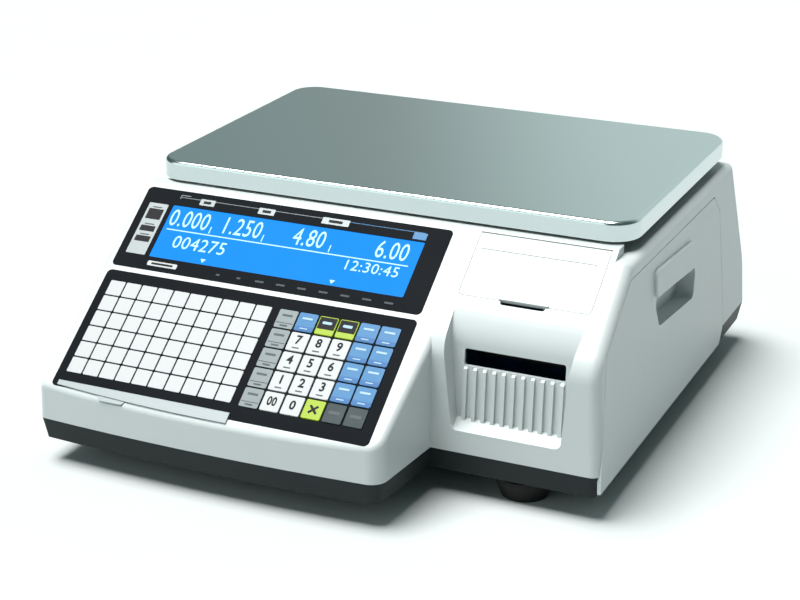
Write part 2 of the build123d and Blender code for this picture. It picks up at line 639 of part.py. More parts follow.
with BuildPart() as load_cell:
    block((-CELL_HALF, CELL_HALF), CELL_Y, CELL_Z)
    middle_z = (CELL_Z[0] + CELL_Z[1]) / 2
    bore_r = 8.0
    with BuildSketch(Plane.YZ.offset(-CELL_HALF)):
        with Locations((PLATTER_Y - 12, middle_z), (PLATTER_Y + 12, middle_z)):
            Circle(bore_r)
        with Locations((PLATTER_Y, middle_z)):
            Rectangle(24, 7)
    extrude(amount=2 * CELL_HALF, mode=Mode.SUBTRACT)
write(load_cell, "load_cell")

with BuildPart() as spider:
    arm_length = math.hypot(*ARM_TIP)
    arm_angle = math.degrees(math.atan2(ARM_TIP[1], ARM_TIP[0]))
    with BuildSketch(Plane.XY.offset(SPIDER_Z[0])):
        with Locations((0, PLATTER_Y)):
            RectangleRounded(104, 84, 12)
        with Locations((0, CELL_Y[0] + 38)):
            RectangleRounded(50, 84, 8)
        for angle in (arm_angle, 180 - arm_angle, 180 + arm_angle, -arm_angle):
            with Locations(Location((0, PLATTER_Y, 0), (0, 0, angle))):
                with Locations((arm_length / 2, 0)):
                    SlotOverall(arm_length + 26, 26)
    extrude(amount=SPIDER_Z[1] - SPIDER_Z[0])
    with BuildSketch(Plane.XY.offset(SPIDER_Z[1])):
        for angle in (arm_angle, 180 - arm_angle, 180 + arm_angle, -arm_angle):
            with Locations(Location((0, PLATTER_Y, 0), (0, 0, angle))):
                with Locations((arm_length * 0.62, 0)):
                    SlotOverall(arm_length * 0.56, 19)
        with Locations((0, PLATTER_Y)):
            RectangleRounded(58, 66, 6)
    extrude(amount=-7.5, mode=Mode.SUBTRACT)
    block((-17, 17), (CELL_Y[0], CELL_Y[0] + 30), (CELL_Z[1], SPIDER_Z[0] + 3))
write(spider, "spider")

with BuildPart() as platter_pads:
    with Locations((0, PLATTER_Y, SPIDER_Z[1])):
        with GridLocations(2 * ARM_TIP[0], 2 * ARM_TIP[1], 2, 2):
            Cylinder(9.5, PLATTER_TOP - SHEET - SPIDER_Z[1], align=ON_FLOOR)
    tops = platter_pads.edges().group_by(Axis.Z)[-1]
    chamfer(tops, 0.8)
write(platter_pads, "platter_pads")

with BuildPart() as platter:
    with BuildSketch(Plane.XY.offset(PLATTER_TOP)):
        with Locations((0, PLATTER_Y)):
            RectangleRounded(PLATTER_W, PLATTER_D, PLATTER_R)
    extrude(amount=-SKIRT)
    fillet(platter.faces().sort_by(Axis.Z)[-1].edges(), 3.0)
    with BuildSketch(Plane.XY.offset(PLATTER_TOP - SKIRT)):
        with Locations((0, PLATTER_Y)):
            RectangleRounded(PLATTER_W - 2 * SHEET, PLATTER_D - 2 * SHEET, PLATTER_R - SHEET)
    extrude(amount=SKIRT - SHEET, mode=Mode.SUBTRACT)
write(platter, "platter")

with BuildPart() as overload_stops:
    with Locations((0, PLATTER_Y, DECK_Z)):
        with GridLocations(2 * STOP_AT[0], 2 * STOP_AT[1], 2, 2):
            Cylinder(6, SPIDER_Z[0] - STOP_GAP - DECK_Z, align=ON_FLOOR)
write(overload_stops, "overload_stops")

with BuildPart() as bubble_level:
    with Locations((-172, 150, DECK_Z)):
        Cylinder(9, 4.5, align=ON_FLOOR)
        with Locations((0, 0, 3.3)):
            Cylinder(6.5, 1.5, align=ON_FLOOR, mode=Mode.SUBTRACT)
    fillet(bubble_level.edges().group_by(Axis.Z)[-1], 0.4)
write(bubble_level, "bubble_level")

# ---- display and keypad -------------------------------------------------------------------------
STANDOFF_R, STANDOFF_X = 2.0, (PANEL_X[0] + 2.4, PANEL_X[1] - 2.6)
BOARD_X = (PANEL_X[0] + 1.0, PANEL_X[1] - 1.5)
BOARD_SHEET = 1.6
LCD_BACK, KEY_BOARD_TOP = -8.0, -4.6


def standoffs(t_pair, board_top):
    """Four studs between a board and the shell's inner side."""
    with BuildSketch(slope_plane(board_top)) as studs:
        for x in STANDOFF_X:
            with Locations(*[(x, -t) for t in t_pair]):
                Circle(STANDOFF_R)
    extrude(studs.sketch, amount=-WALL - board_top)


with BuildPart() as display_bezel:
    slope_slab(PANEL_X, DISPLAY_T, -PANEL_SHEET, 0, radius=4)
    slope_slab(LCD_X, LCD_T, -PANEL_SHEET, 0, radius=1.5, mode=Mode.SUBTRACT)
write(display_bezel, "display_bezel")

with BuildPart() as lcd_module:
    lcd_body_x = (WINDOW_X[0] + 1, WINDOW_X[1] - 1)
    lcd_body_t = (DISPLAY_WINDOW_T[0] + 1, DISPLAY_WINDOW_T[1] - 1)
    slope_slab(lcd_body_x, lcd_body_t, LCD_BACK, -PANEL_SHEET)
    glass_x = (LCD_X[0] + 0.1, LCD_X[1] - 0.1)
    slope_slab(glass_x, (LCD_T[0] + 0.1, LCD_T[1] - 0.1), -PANEL_SHEET, -0.5, radius=1.4)
write(lcd_module, "lcd_module")

with BuildPart() as display_board:
    slope_slab(BOARD_X, (DISPLAY_T[0] + 5, DISPLAY_T[1] - 3), LCD_BACK - BOARD_SHEET, LCD_BACK)
    standoffs((DISPLAY_T[0] + 14, DISPLAY_T[1] - 12), LCD_BACK)
    slope_slab((-60, -20), (24, 52), LCD_BACK - BOARD_SHEET - 2.5, LCD_BACK - BOARD_SHEET)
write(display_board, "display_board")


def key_place(column, row):
    """Middle of a key on the slope sketch."""
    return KEYS_X[0] + PITCH_X * (column + 0.5), -(KEYS_T[0] + PITCH_T * (row + 0.5))


def key_outline(column, row, grow=0.0):
    """One key's outline in the active slope sketch."""
    with Locations(key_place(column, row)):
        RectangleRounded(PITCH_X - KEY_GAP + 2 * grow, PITCH_T - KEY_GAP + 2 * grow, 1.2 + grow)


KEYS = {  # travelling keys: column and row
    "key_zero": (2, 0),
    "key_tare": (3, 0),
    "key_7": (1, 1),
    "key_8": (2, 1),
    "key_9": (3, 1),
    "key_4": (1, 2),
    "key_5": (2, 2),
    "key_6": (3, 2),
    "key_1": (1, 3),
    "key_2": (2, 3),
    "key_3": (3, 3),
    "key_00": (1, 4),
    "key_0": (2, 4),
    "key_c": (3, 4),
    "key_print_a": (4, 4),
    "key_print_b": (5, 4),
}
MENU_KEYS = [(0, row) for row in range(KEY_ROWS)]
FUNCTION_KEYS = [(1, 0)] + [(column, row) for column in (4, 5) for row in range(KEY_ROWS - 1)]

with BuildPart() as keypad_frame:
    slope_slab(PANEL_X, KEYPAD_T, -PANEL_SHEET, 0, radius=4)
    with BuildSketch(slope_plane(0)):
        for column, row in KEYS.values():
            key_outline(column, row, grow=KEY_PLAY)
    extrude(amount=-PANEL_SHEET, mode=Mode.SUBTRACT)
write(keypad_frame, "keypad_frame")

with BuildPart() as keypad_board:
    board_t = (KEYPAD_T[0] + 4, KEYPAD_T[1] - 4)
    slope_slab(BOARD_X, board_t, KEY_BOARD_TOP - BOARD_SHEET, KEY_BOARD_TOP)
    standoffs((KEYPAD_T[0] + 22, KEYPAD_T[1] - 30), KEY_BOARD_TOP)
write(keypad_board, "keypad_board")

for key_name, (column, row) in KEYS.items():
    with BuildPart() as key:
        with BuildSketch(slope_plane(-KEY_DEPTH)):
            key_outline(column, row)
        extrude(amount=KEY_DEPTH + KEY_PROUD)
        top = key.faces().sort_by(Axis((0, 0, 0), SLOPE_NORMAL))[-1]
        fillet(top.edges(), 0.4)
    write(key, key_name)

for tile_name, places in (("menu_keys", MENU_KEYS), ("function_keys", FUNCTION_KEYS)):
    with BuildPart() as tiles:
        with BuildSketch(slope_plane(0)):
            for column, row in places:
                key_outline(column, row)
        extrude(amount=KEY_PROUD)
    write(tiles, tile_name)

with BuildPart() as speed_keys:
    speed_pitch_x = (SPEED_X[1] - SPEED_X[0]) / SPEED_COLS
    speed_pitch_t = (SPEED_T[1] - SPEED_T[0]) / SPEED_ROWS
    with BuildSketch(slope_plane(0)):
        with Locations((sum(SPEED_X) / 2, -sum(SPEED_T) / 2)):
            with GridLocations(speed_pitch_x, speed_pitch_t, SPEED_COLS, SPEED_ROWS):
                RectangleRounded(speed_pitch_x - SPEED_GAP, speed_pitch_t - SPEED_GAP, 0.8)
    extrude(amount=KEY_PROUD - 0.2)
write(speed_keys, "speed_keys")

with BuildPart() as key_sheet_strip:
    barrel_r = STRIP_SHEET / 2
    barrel_t = STRIP_TOP_T + barrel_r
    with BuildSketch(slope_plane(STRIP_FOOT)):
        with BuildLine():
            Polyline(
                (STRIP_EDGE[0][0], -STRIP_EDGE[0][1]),
                (STRIP_X[0], -barrel_t),
                (STRIP_X[1], -barrel_t),
                (STRIP_EDGE[2][0], -STRIP_EDGE[2][1]),
            )
            ThreePointArc(*[(x, -t) for x, t in STRIP_EDGE])
        make_face()
    extrude(amount=STRIP_SHEET)
    rod(STRIP_X, slope_yz(barrel_t, STRIP_FOOT + barrel_r), barrel_r)
    tab_form(TAB_GAP, TAB_T[1], -TAB_DEPTH + 0.1, STRIP_FOOT + 0.6)
write(key_sheet_strip, "key_sheet_strip")

# ---- printer flap -------------------------------------------------------------------------------
with BuildPart() as printer_flap:
    flap_slab(FLAP_T[0], 0, -FLAP_SHEET, 0)
    rod(FLAP_X, FLAP_AXIS, FLAP_SHEET / 2)
    lip_x = (FLAP_MIDDLE - LIP_HALF, FLAP_MIDDLE + LIP_HALF)
    slope_slab(lip_x, (FLAP_T[1] - LIP_W, FLAP_T[1]), -1, LIP_PROUD, radius=0.9)
    groove_t = 11.0
    slope_slab((FLAP_X[0] + 3, FLAP_X[1] - 7), (groove_t, groove_t + 0.7), -0.5, 0, mode=Mode.SUBTRACT)
    rod((FLAP_X[0], FLAP_X[0] + 8), FLAP_AXIS, FLAP_PIN_R, mode=Mode.SUBTRACT)
    rod((FLAP_X[1] - 8, FLAP_X[1]), FLAP_AXIS, FLAP_PIN_R, mode=Mode.SUBTRACT)
write(printer_flap, "printer_flap")

with BuildPart() as flap_pins:
    rod((FLAP_X[0] - FLAP_GAP - EAR_W, FLAP_X[0] + 8), FLAP_AXIS, FLAP_PIN_R)
    rod((FLAP_X[1] - 8, FLAP_X[1] + FLAP_GAP + EAR_W), FLAP_AXIS, FLAP_PIN_R)
write(flap_pins, "flap_pins")

# ---- electronics --------------------------------------------------------------------------------
BOARD_Z = (PAN_FLOOR + 5.4, PAN_FLOOR + 7.0)

with BuildPart() as main_board:
    block((-170, -42), (-104, 96), BOARD_Z)
    with Locations((-106, -4, PAN_FLOOR)):
        with GridLocations(116, 188, 2, 2):
            Cylinder(3, BOARD_Z[0] - PAN_FLOOR, align=ON_FLOOR)
    block((-130, -100), (-30, 0), (BOARD_Z[1], BOARD_Z[1] + 2.4))
    block((-84, -66), (-74, -52), (BOARD_Z[1], BOARD_Z[1] + 2))
    block((-160, -148), (-60, 20), (BOARD_Z[1], BOARD_Z[1] + 9))
    block((-120, -60), (78, 90), (BOARD_Z[1], BOARD_Z[1] + 9))
    with Locations((-74, 20, BOARD_Z[1])):
        with GridLocations(18, 22, 2, 2):
            Cylinder(5, 12, align=ON_FLOOR)
write(main_board, "main_board")

with BuildPart() as power_supply:
    block((-122, -42), (106, 198), (PAN_FLOOR + 3, 60))
    block((-118, -46), (102, 202), (PAN_FLOOR, PAN_FLOOR + 3))
    with BuildSketch(Plane.XY.offset(60)):
        with Locations((-82, 152)):
            with GridLocations(8, 0, 8, 1):
                SlotOverall(60, 4, rotation=90)
    extrude(amount=-1.2, mode=Mode.SUBTRACT)
write(power_supply, "power_supply")

with BuildPart() as power_inlet:
    with BuildSketch(REAR_LOW):
        with Locations((-INLET_X, PORT_Z - PART_Z)):
            RectangleRounded(31, 22.6, 2)
    extrude(amount=0.8)
    with BuildSketch(REAR_LOW):
        with Locations((-INLET_X, PORT_Z - PART_Z)):
            Rectangle(27, 19)
    extrude(amount=-20)
    with BuildSketch(REAR_LOW.offset(0.8)):
        with Locations((-INLET_X, PORT_Z - PART_Z)):
            RectangleRounded(23.4, 15.4, 3)
    extrude(amount=-17, mode=Mode.SUBTRACT)
    with BuildSketch(REAR_LOW.offset(-16.2)):
        with Locations((-INLET_X - 7, PORT_Z - PART_Z), (-INLET_X + 7, PORT_Z - PART_Z)):
            Rectangle(2, 4)
        with Locations((-INLET_X, PORT_Z - PART_Z + 3)):
            Rectangle(2, 4)
    extrude(amount=12)
write(power_inlet, "power_inlet")

with BuildPart() as io_connectors:
    for port_x, port_w, port_h in PORTS:
        with BuildSketch(REAR_LOW):
            with Locations((-port_x, PORT_Z - PART_Z)):
                Rectangle(port_w - 0.6, port_h - 0.6)
        extrude(amount=-16)
        with BuildSketch(REAR_LOW):
            with Locations((-port_x, PORT_Z - PART_Z)):
                Rectangle(port_w - 3.4, port_h - 3.4)
        extrude(amount=-11, mode=Mode.SUBTRACT)
    plug_board_y = REAR_Y - 21
    block((-44, 50), (plug_board_y, plug_board_y + 3.2), (40, 70))
write(io_connectors, "io_connectors")

with BuildPart() as power_switch:
    rocker_plane = Plane(
        origin=(SWITCH_X, *ROCKER_AT),
        x_dir=(-1, 0, 0),
        z_dir=(0, math.cos(math.radians(ROCKER_TILT)), math.sin(math.radians(ROCKER_TILT))),
    )
    with BuildSketch(rocker_plane.offset(-3)):
        Rectangle(ROCKER_W, ROCKER_H)
    extrude(amount=5.8)
    fillet(power_switch.edges().filter_by(Axis.X), 1.0)
    for side in (-1, 1):
        face_x = SWITCH_X + side * ROCKER_W / 2
        hole_x = sorted((face_x, face_x - side * (ROCKER_PIN_IN + 0.2)))
        rod(hole_x, ROCKER_AT, ROCKER_PIN_R + HOLE_GAP, mode=Mode.SUBTRACT)
write(power_switch, "power_switch")

with BuildPart() as rear_window:
    with BuildSketch(REAR_HIGH):
        Rectangle(REAR_GLASS[0] - 0.4, REAR_GLASS[1] - 0.4)
    extrude(amount=-REAR_GLASS_SHEET)
write(rear_window, "rear_window")

with BuildPart() as rear_lcd:
    with BuildSketch(REAR_HIGH.offset(-REAR_GLASS_SHEET)):
        Rectangle(REAR_GLASS[0] - 2 * WINDOW_INSET - 2, REAR_GLASS[1] - 2 * WINDOW_INSET - 2)
    extrude(amount=-7)
    with BuildSketch(REAR_HIGH.offset(-REAR_GLASS_SHEET - 7)):
        Rectangle(REAR_GLASS[0] + 4, REAR_GLASS[1] - 2)
    extrude(amount=-BOARD_SHEET)
    with BuildSketch(REAR_HIGH.offset(-REAR_GLASS_SHEET - 7)):
        with GridLocations(REAR_GLASS[0] - 4, REAR_GLASS[1] - 16, 2, 2):
            Circle(2)
    extrude(amount=7 + REAR_GLASS_SHEET - WALL)
write(rear_lcd, "rear_lcd")

# ---- printer cartridge --------------------------------------------------------------------------
with BuildPart() as cartridge_rails:
    for rail_y in RAIL_Y:
        rail_side = (rail_y - RAIL_HALF_W, rail_y + RAIL_HALF_W)
        block(RAIL_X, rail_side, (PAN_FLOOR, CHASSIS_Z[0] - 0.3))
        block((RAIL_X[0] - 6, RAIL_X[0]), rail_side, (PAN_FLOOR, CHASSIS_Z[1] + 4))
        inner_y = (rail_y - 2.5, rail_y + 2.5)
        block((RAIL_X[0] + 8, RAIL_X[1] - 8), inner_y, (PAN_FLOOR, CHASSIS_Z[0] - 3), mode=Mode.SUBTRACT)
write(cartridge_rails, "cartridge_rails")

panel_outline = wall_outline(DRAWER_OUTLINE)
pad_outline = wall_outline(GRIP_PAD, radius=5)
pocket_outline = wall_outline(GRIP_POCKET, radius=6)
cup_outline = wall_outline(GRIP_POCKET, gap=2)

with BuildPart() as cartridge_front:
    extrude(panel_outline, amount=-DRAWER_SHEET)
    block((HALF - 20, HALF), (-160, 170), (0, DECK_Z), mode=Mode.INTERSECT)
    fillet(nearest(cartridge_front.part, (HALF - 7, 128, 153), (HALF - 6, 144, 137)), 9)
    extrude(cup_outline, amount=-GRIP_DEPTH - 2)
    extrude(pad_outline, amount=PAD_PROUD)
    extrude(pocket_outline, amount=-GRIP_DEPTH, mode=Mode.SUBTRACT)
    fillet(cartridge_front.faces().sort_by(Axis((0, 0, 0), (LEAN_COS, 0, LEAN_SIN)))[-1].edges(), 1.2)
write(cartridge_front, "cartridge_front")

with BuildPart() as cartridge_chassis:
    block((CHASSIS_X[0], HALF - 3.5), CHASSIS_Y, CHASSIS_Z)
    plate(
        CHASSIS_X,
        (
            (CHASSIS_Y[0], CHASSIS_Z[0]),
            (CHASSIS_Y[0], 112),
            (HEAD_AT[0] + 8, 136),
            (ROLL_AT[0], 144),
            (CHASSIS_Y[1], 116),
            (CHASSIS_Y[1], CHASSIS_Z[0]),
        ),
    )
    plate(
        OUTER_PLATE_X,
        (
            (CHASSIS_Y[0], CHASSIS_Z[0]),
            (CHASSIS_Y[0], 112),
            (HEAD_AT[0] + 9, 131),
            (HEAD_AT[0] + 9, CHASSIS_Z[0]),
        ),
    )
    for x_pair in (CHASSIS_X, OUTER_PLATE_X):
        rod(x_pair, PLATEN_AT, SHAFT_R + HOLE_GAP, mode=Mode.SUBTRACT)
        rod(x_pair, HEAD_AT, SHAFT_R + HOLE_GAP, mode=Mode.SUBTRACT)
    rod(CHASSIS_X, ROLL_AT, SPINDLE_R + HOLE_GAP, mode=Mode.SUBTRACT)
    rod(CHASSIS_X, TAKEUP_AT, SPINDLE_R + HOLE_GAP, mode=Mode.SUBTRACT)
    rod(CHASSIS_X, MOTOR_AT, 9, mode=Mode.SUBTRACT)
write(cartridge_chassis, "cartridge_chassis")

with BuildPart() as platen_roller:
    rod((CHASSIS_X[0] + 0.4, OUTER_PLATE_X[1] + 3), PLATEN_AT, SHAFT_R)
    rod(PLATEN_X, PLATEN_AT, PLATEN_R)
write(platen_roller, "platen_roller")

ROOT_DEPTH, TIP_HEIGHT = 1.25, 0.9  # in modules
TOOTH_ROOT, TOOTH_TIP = 0.30, 0.12  # half widths as shares of the pitch


def gear(at, teeth, bore, start_angle):
    """Spur gear across GEAR_X, with a tooth at start_angle in y and z."""
    pitch_r = GEAR_MODULE * teeth / 2
    root_r = pitch_r - ROOT_DEPTH * GEAR_MODULE
    tip_r = pitch_r + TIP_HEIGHT * GEAR_MODULE
    pitch = GEAR_MODULE * math.pi
    tooth = (
        (root_r - 0.3, -TOOTH_ROOT * pitch),
        (tip_r, -TOOTH_TIP * pitch),
        (tip_r, TOOTH_TIP * pitch),
        (root_r - 0.3, TOOTH_ROOT * pitch),
    )
    face_plane = Plane(origin=(GEAR_X[0], *at), x_dir=(0, 1, 0), z_dir=(1, 0, 0))
    with BuildSketch(face_plane) as section:
        Circle(root_r)
        with PolarLocations(0, teeth, start_angle=start_angle):
            Polygon(*tooth, align=None)
        Circle(bore, mode=Mode.SUBTRACT)
    extrude(section.sketch, amount=GEAR_X[1] - GEAR_X[0])


with BuildPart() as platen_gear:
    gear(PLATEN_AT, PLATEN_TEETH, SHAFT_R, MESH_ANGLE)
write(platen_gear, "platen_gear")

with BuildPart() as motor_pinion:
    gear(MOTOR_AT, PINION_TEETH, 1.5, MESH_ANGLE + 180 + 180 / PINION_TEETH)
    rod((MOTOR_X[1] + 1.5, GEAR_X[1] + 1), MOTOR_AT, 1.5)
write(motor_pinion, "motor_pinion")

with BuildPart() as stepper_motor:
    motor_y, motor_z = MOTOR_AT
    side_y = (motor_y - MOTOR_HALF, motor_y + MOTOR_HALF)
    block(MOTOR_X, side_y, (motor_z - MOTOR_HALF, motor_z + MOTOR_HALF))
    chamfer(stepper_motor.edges().filter_by(Axis.X), 4)
    rod((MOTOR_X[1], MOTOR_X[1] + 1.2), MOTOR_AT, 8.5)
    block((MOTOR_X[0] + 2, MOTOR_X[0] + 14), (side_y[1], side_y[1] + 5), (motor_z - 7, motor_z + 7))
write(stepper_motor, "stepper_motor")

with BuildPart() as print_head:
    head_y, head_z = HEAD_AT
    platen_top = PLATEN_AT[1] + PLATEN_R + 0.4
    plate(
        (PLATEN_X[0] - 2, PLATEN_X[1] + 2),
        (
            (PLATEN_AT[0] - 8, platen_top),
            (PLATEN_AT[0] + 10, platen_top),
            (PLATEN_AT[0] + 10, platen_top + 4.6),
            (head_y - 8, head_z - 6),
            (head_y + 6, head_z - 6),
            (head_y + 6, head_z + 6),
            (head_y - 6, head_z + 6),
            (PLATEN_AT[0] + 10, platen_top + 11.6),
            (PLATEN_AT[0] - 8, platen_top + 9.6),
        ),
    )
    rod((PLATEN_X[0] - 2, PLATEN_X[1] + 2), HEAD_AT, SHAFT_R, mode=Mode.SUBTRACT)
    fin_count = 9
    with Locations((sum(PLATEN_X) / 2, PLATEN_AT[0] + 1, platen_top + 12)):
        with GridLocations(7.6, 0, fin_count, 1):
            Box(4, 14, 6, mode=Mode.SUBTRACT)
write(print_head, "print_head")

with BuildPart() as head_lever:
    rod((CHASSIS_X[0] - 3, OUTER_PLATE_X[1] + 8), HEAD_AT, SHAFT_R)
    lever_x = (OUTER_PLATE_X[1] + 2.5, OUTER_PLATE_X[1] + 6.5)
    plate(
        lever_x,
        (
            (head_y + 5, head_z - 5),
            (head_y - 5, head_z - 5),
            (head_y - 25, head_z + 10),
            (head_y - 25, head_z + 17),
            (head_y - 18, head_z + 17),
            (head_y + 5, head_z + 5),
        ),
    )
    block((lever_x[0] - 8, lever_x[0]), (head_y - 25, head_y - 18), (head_z + 10, head_z + 17))
write(head_lever, "head_lever")

with BuildPart() as label_roll:
    rod(ROLL_X, ROLL_AT, ROLL_R)
    rod(ROLL_X, ROLL_AT, CORE_R, mode=Mode.SUBTRACT)
    fillet(label_roll.edges().filter_by(GeomType.CIRCLE).group_by(SortBy.RADIUS)[-1], 0.6)
write(label_roll, "label_roll")

with BuildPart() as supply_spindle:
    rod((CHASSIS_X[0] - 3, ROLL_X[0] - 4), ROLL_AT, SPINDLE_R)
    rod((ROLL_X[0] - 4, ROLL_X[0]), ROLL_AT, CORE_R + 13)
    rod((ROLL_X[0], ROLL_X[1] + 4), ROLL_AT, CORE_R)
    rod((ROLL_X[0] + 4, ROLL_X[1] + 4), ROLL_AT, CORE_R - 3, mode=Mode.SUBTRACT)
    rod((ROLL_X[0], ROLL_X[1] - 6), ROLL_AT, SPINDLE_R + 3)
write(supply_spindle, "supply_spindle")

with BuildPart() as takeup_spool:
    rod((CHASSIS_X[0] - 3, ROLL_X[0] - 8), TAKEUP_AT, SPINDLE_R)
    rod((ROLL_X[0] - 8, ROLL_X[0] - 6), TAKEUP_AT, TAKEUP_R)
    rod((ROLL_X[0] - 6, ROLL_X[1]), TAKEUP_AT, TAKEUP_CORE)
    rod((ROLL_X[1], ROLL_X[1] + 2), TAKEUP_AT, TAKEUP_R)
    with BuildSketch(Plane.YZ.offset(ROLL_X[1])):
        with Locations(TAKEUP_AT):
            with PolarLocations(18.5, 6):
                Circle(3)
    extrude(amount=2, mode=Mode.SUBTRACT)
write(takeup_spool, "takeup_spool")
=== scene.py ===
"""Looks for the label-printing price scale: materials, key legends, display content and studio."""
import math

import bpy
from mathutils import Matrix, Vector


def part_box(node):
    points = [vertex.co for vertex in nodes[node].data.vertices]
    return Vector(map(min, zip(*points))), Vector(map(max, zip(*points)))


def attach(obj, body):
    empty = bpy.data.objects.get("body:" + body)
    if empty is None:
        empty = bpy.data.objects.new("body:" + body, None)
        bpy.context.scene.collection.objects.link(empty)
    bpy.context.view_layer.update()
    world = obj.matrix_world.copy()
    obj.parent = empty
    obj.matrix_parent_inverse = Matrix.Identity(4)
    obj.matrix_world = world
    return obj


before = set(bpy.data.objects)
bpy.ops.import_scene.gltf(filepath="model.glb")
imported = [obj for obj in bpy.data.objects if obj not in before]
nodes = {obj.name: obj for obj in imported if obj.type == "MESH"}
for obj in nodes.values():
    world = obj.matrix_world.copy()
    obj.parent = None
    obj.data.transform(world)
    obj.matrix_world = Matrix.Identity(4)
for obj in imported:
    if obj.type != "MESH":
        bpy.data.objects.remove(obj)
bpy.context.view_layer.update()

# ---- the control slope, from the display panel's box ---------------------------------------------
SLOPE = math.radians(36.3)
SLOPE_COS, SLOPE_SIN = math.cos(SLOPE), math.sin(SLOPE)
PANEL_SHEET = 0.0014
bezel_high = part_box("display_bezel")[1]
SLOPE_Y = bezel_high[1] - PANEL_SHEET * SLOPE_SIN
SLOPE_Z = bezel_high[2]


def on_slope(x, t, height):
    """A point on the slope: x, distance t down from the display panel's upper edge, and height."""
    y = SLOPE_Y - t * SLOPE_COS - height * SLOPE_SIN
    return Vector((x, y, SLOPE_Z - t * SLOPE_SIN + height * SLOPE_COS))


def slope_place(node):
    """Middle x and t of a CAD node that lies on the slope."""
    low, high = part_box(node)
    dy, dz = (low[1] + high[1]) / 2 - SLOPE_Y, (low[2] + high[2]) / 2 - SLOPE_Z
    return (low[0] + high[0]) / 2, -(dy * SLOPE_COS + dz * SLOPE_SIN)


def slope_matrix(x, t, height):
    """Frame on the slope: local x to the right, y up the slope, z out of it."""
    origin = on_slope(x, t, height)
    return Matrix(
        (
            (1, 0, 0, origin.x),
            (0, SLOPE_COS, -SLOPE_SIN, origin.y),
            (0, SLOPE_SIN, SLOPE_COS, origin.z),
            (0, 0, 0, 1),
        )
    )


# ---- materials -----------------------------------------------------------------------------------
def material(name, colour, rough, metal=0.0, coat=0.0, vary=0.04, patch=14.0, grain=(900.0, 0.02),
             edge_highlight=0.25, edge_highlight_tint=1.25, stretch=(1, 1, 1), glow=None, level=0.5):
    """A procedural surface: mottled colour, fine relief and lighter edges, a painted highlight where light
    catches the edges.
    """
    made = bpy.data.materials.new(name)
    made.use_nodes = True
    tree = made.node_tree
    shader = tree.nodes["Principled BSDF"]
    shader.inputs["Metallic"].default_value = metal
    shader.inputs["Coat Weight"].default_value = coat
    shader.inputs["Coat Roughness"].default_value = 0.08
    shader.inputs["Specular IOR Level"].default_value = level
    if glow:
        shader.inputs["Emission Color"].default_value = (*glow[0], 1)
        shader.inputs["Emission Strength"].default_value = glow[1]

    def node(kind, **values):
        made_node = tree.nodes.new(kind)
        for key, value in values.items():
            made_node.inputs[key].default_value = value
        return made_node

    link = tree.links.new
    where = tree.nodes.new("ShaderNodeTexCoord")
    mapping = node("ShaderNodeMapping", Scale=stretch)
    link(where.outputs["Object"], mapping.inputs["Vector"])
    cloud = node("ShaderNodeTexNoise", Scale=patch, Detail=4.0, Roughness=0.6)
    link(mapping.outputs["Vector"], cloud.inputs["Vector"])
    mottle = tree.nodes.new("ShaderNodeMix")
    mottle.data_type = "RGBA"
    link(cloud.outputs["Fac"], mottle.inputs["Factor"])
    mottle.inputs["A"].default_value = (*[max(0, c * (1 - vary)) for c in colour], 1)
    mottle.inputs["B"].default_value = (*[min(1, c * (1 + vary)) for c in colour], 1)

    # Painted highlight: a bevel mask mixes a lighter colour into the edges, in place of light catching them.
    bevel = tree.nodes.new("ShaderNodeBevel")
    bevel.samples = 3
    bevel.inputs["Radius"].default_value = 0.0007
    surface = tree.nodes.new("ShaderNodeNewGeometry")
    facing = tree.nodes.new("ShaderNodeVectorMath")
    facing.operation = "DOT_PRODUCT"
    link(bevel.outputs["Normal"], facing.inputs[0])
    link(surface.outputs["Normal"], facing.inputs[1])
    edge = node("ShaderNodeMapRange", **{"From Min": 0.995, "From Max": 0.86, "To Min": 0.0, "To Max": edge_highlight})
    link(facing.outputs["Value"], edge.inputs["Value"])
    edge_highlighted = tree.nodes.new("ShaderNodeMix")
    edge_highlighted.data_type = "RGBA"
    link(edge.outputs["Result"], edge_highlighted.inputs["Factor"])
    link(mottle.outputs["Result"], edge_highlighted.inputs["A"])
    edge_highlighted.inputs["B"].default_value = (*[min(1, c * edge_highlight_tint + 0.02) for c in colour], 1)
    link(edge_highlighted.outputs["Result"], shader.inputs["Base Color"])

    sheen = node("ShaderNodeMapRange", **{"To Min": rough * 0.85, "To Max": min(1, rough * 1.15)})
    link(cloud.outputs["Fac"], sheen.inputs["Value"])
    link(sheen.outputs["Result"], shader.inputs["Roughness"])

    fine = node("ShaderNodeTexNoise", Scale=grain[0], Detail=2.0)
    link(mapping.outputs["Vector"], fine.inputs["Vector"])
    relief = node("ShaderNodeBump", Strength=grain[1], Distance=0.0004)
    link(fine.outputs["Fac"], relief.inputs["Height"])
    link(relief.outputs["Normal"], shader.inputs["Normal"])
    return made


FILM = {"patch": 90, "grain": (1500, 0.05), "level": 0.2}
INK = {"grain": (1800, 0.05), "edge_highlight": 0}

white = material("white_plastic", (0.51, 0.545, 0.54), 0.38, vary=0.012, grain=(1400, 0.03),
                 edge_highlight=0.15, level=0.35)
black = material("black_base_plastic", (0.012, 0.017, 0.018), 0.5, grain=(1500, 0.12),
                 edge_highlight=0.25, edge_highlight_tint=1.8, level=0.2)
bezel = material("bezel_film", (0.0055, 0.007, 0.009), 0.55, grain=(300, 0.006),
                 edge_highlight=0.2, edge_highlight_tint=2.0, level=0.03)
steel = material("platter_steel", (0.595, 0.665, 0.66), 0.2, metal=1.0, vary=0.04, patch=10,
                 stretch=(0.6, 90, 1), grain=(60, 0.03), edge_highlight=0.5, edge_highlight_tint=1.5)
zinc = material("zinc_sheet", (0.50, 0.53, 0.54), 0.36, metal=1.0, vary=0.10, patch=60, grain=(500, 0.05))
cast = material("cast_aluminium", (0.56, 0.57, 0.58), 0.46, metal=1.0, vary=0.06, patch=90,
                grain=(700, 0.18))
rubber = material("black_rubber", (0.014, 0.014, 0.014), 0.75, grain=(1100, 0.2), level=0.2)
nylon = material("natural_nylon", (0.62, 0.62, 0.55), 0.42, grain=(900, 0.04))
